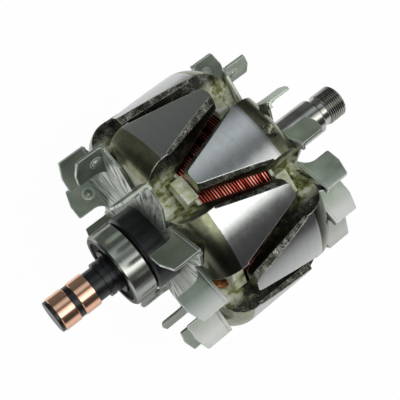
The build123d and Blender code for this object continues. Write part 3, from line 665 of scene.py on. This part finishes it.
# White paper glows for the camera, so that it ends without an edge, and keeps
# a faint shadow of the piece. Its fibres are drawn at 1.1 mm, far coarser than
# they are.
fibre_size = 1.1
white_paper, white = finish("white_paper", "f4f4f4", 0.9)
place = add(white, "TexCoord", out="Object")
fibre = add(white, "TexNoise", {"Vector": place, "Scale": per_metre / fibre_size, "Detail": 3.0})
add(white, "ValToRGB", {"Fac": fibre}, stops=((0.3, "f0f0f0"), (0.7, "f7f7f7")), to="Base Color")
rays = add(white, "LightPath", out="Is Camera Ray")
mirrored = add(white, "LightPath", out="Is Glossy Ray")
glow = add(white, "Emission", {"Color": pure_white, "Strength": paper_glow})
faint = add(white, "BsdfDiffuse", {"Color": (shadow_share, shadow_share, shadow_share, 1)})
seen = add(white, "AddShader", {0: glow, 1: faint})
# Painted shade: reflections of the paper fade towards the near side
depth = add(white, "SeparateXYZ", {0: place}, out="Y")
reflected_paper_shade = add(white, "MapRange", {
    "Value": depth, "From Min": -0.23, "From Max": -0.08, "To Min": 0.08, "To Max": 0.85})
# and carry a painted shadow where the piece stands over it
shadow_under_piece = add(white, "VectorMath", {0: place, 1: (0.6, 1, 0)}, operation="MULTIPLY")
shadow_under_piece = add(white, "VectorMath", {0: shadow_under_piece, 1: (0.03, 0, 0)}, operation="ADD")
shadow_under_piece = add(white, "VectorMath", {0: shadow_under_piece}, operation="LENGTH")
shadow_under_piece = add(white, "MapRange", {
    "Value": shadow_under_piece, "From Min": 0.02, "From Max": 0.075, "To Min": 0.6, "To Max": 1.0})
reflected_paper_shade = add(white, "Math", {0: reflected_paper_shade, 1: shadow_under_piece}, operation="MULTIPLY")
reflected = add(white, "Emission", {"Color": pure_white, "Strength": reflected_paper_shade})
shown = add(white, "MixShader", {0: mirrored, 1: white.outputs[0], 2: reflected})
shown = add(white, "MixShader", {0: rays, 1: shown, 2: seen})
white.id_data.links.new(shown, white.id_data.nodes["Material Output"].inputs["Surface"])
paper.materials.append(white_paper)

# Strips of the studio in degrees round the shaft, from level behind the piece
# up and over to the near side, and how bright each is, where 1 is white
brightest = 2.6
strips = (
    (0, 0.22), (6, 0.17), (20, 0.17), (52, 0.14), (60, 0.12), (66, 0.25), (76, 0.66), (84, 0.76),
    (92, 0.56), (98, 0.3), (106, 0.2), (110, 0.3), (114, 0.95), (122, 1.3), (132, 2.3), (140, 2.6),
    (147, 1.8), (151, 0.7), (155, 0.16), (166, 0.08), (185, 0.06), (205, 0.2), (225, 0.5),
    (300, 0.9), (340, 0.75), (350, 0.55), (356, 0.3))
green, blue, plain = (0.95, 1.0, 0.95), (0.94, 1.0, 1.04), (0.99, 1.0, 0.98)
green_end, blue_end = 62, 112
world = bpy.data.worlds.new("studio")
bpy.context.scene.world = world
world.use_nodes = True
sky = world.node_tree.nodes["Background"]
direction = add(sky, "TexCoord", out="Generated")
up = add(sky, "SeparateXYZ", {0: direction}, out="Z")
back = add(sky, "SeparateXYZ", {0: direction}, out="Y")
turn = add(sky, "Math", {0: up, 1: back}, operation="ARCTAN2")
turn = add(sky, "Math", {0: turn, 1: 1 / (2 * math.pi)}, operation="MULTIPLY")
turn = add(sky, "Math", {0: turn}, operation="FRACT")
stops = []
for angle, level in strips:
    tint = green if angle < green_end else blue if angle < blue_end else plain
    stops.append((angle / 360, tuple(level / brightest * c for c in tint)))
lights = add(sky, "ValToRGB", {"Fac": turn}, stops=stops)
# The strips end short of the two shaft ends
end_on = add(sky, "SeparateXYZ", {0: direction}, out="X")
end_on = add(sky, "Math", {0: end_on}, operation="ABSOLUTE")
end_on = add(sky, "MapRange", {
    "Value": end_on, "From Min": 0.38, "From Max": 0.62, "To Min": 1.0, "To Max": 0.3})
lights = add(sky, "VectorMath", {0: lights, "Scale": end_on}, operation="SCALE")
camera_ray = add(sky, "LightPath", out="Is Camera Ray")
paper_white = (1 / brightest, 1 / brightest, 1 / brightest, 1)
add(sky, "Mix", {"Factor": camera_ray, "A": lights, "B": paper_white}, data_type="RGBA", to="Color")
sky.inputs["Strength"].default_value = brightest

# Camera, above the slip-ring end and a little to the near side. Its three
# directions are those of the picture: to the right, down, and into it.
camera_data = bpy.data.cameras.new("camera")
camera_data.sensor_width = 36.0
camera_data.lens = 83.44
camera = bpy.data.objects.new("camera", camera_data)
bpy.context.scene.collection.objects.link(camera)
right = Vector((0.7570, -0.6512, -0.0534))
down = Vector((-0.5833, -0.6367, -0.5044))
ahead = Vector((0.2945, 0.4130, -0.8618))
stand = Matrix((right, -down, -ahead)).transposed().to_4x4()
stand.translation = Vector((-0.1660, -0.1641, 0.3455))
camera.matrix_world = stand
bpy.context.scene.camera = camera
bpy.context.scene.view_settings.view_transform = "Standard"
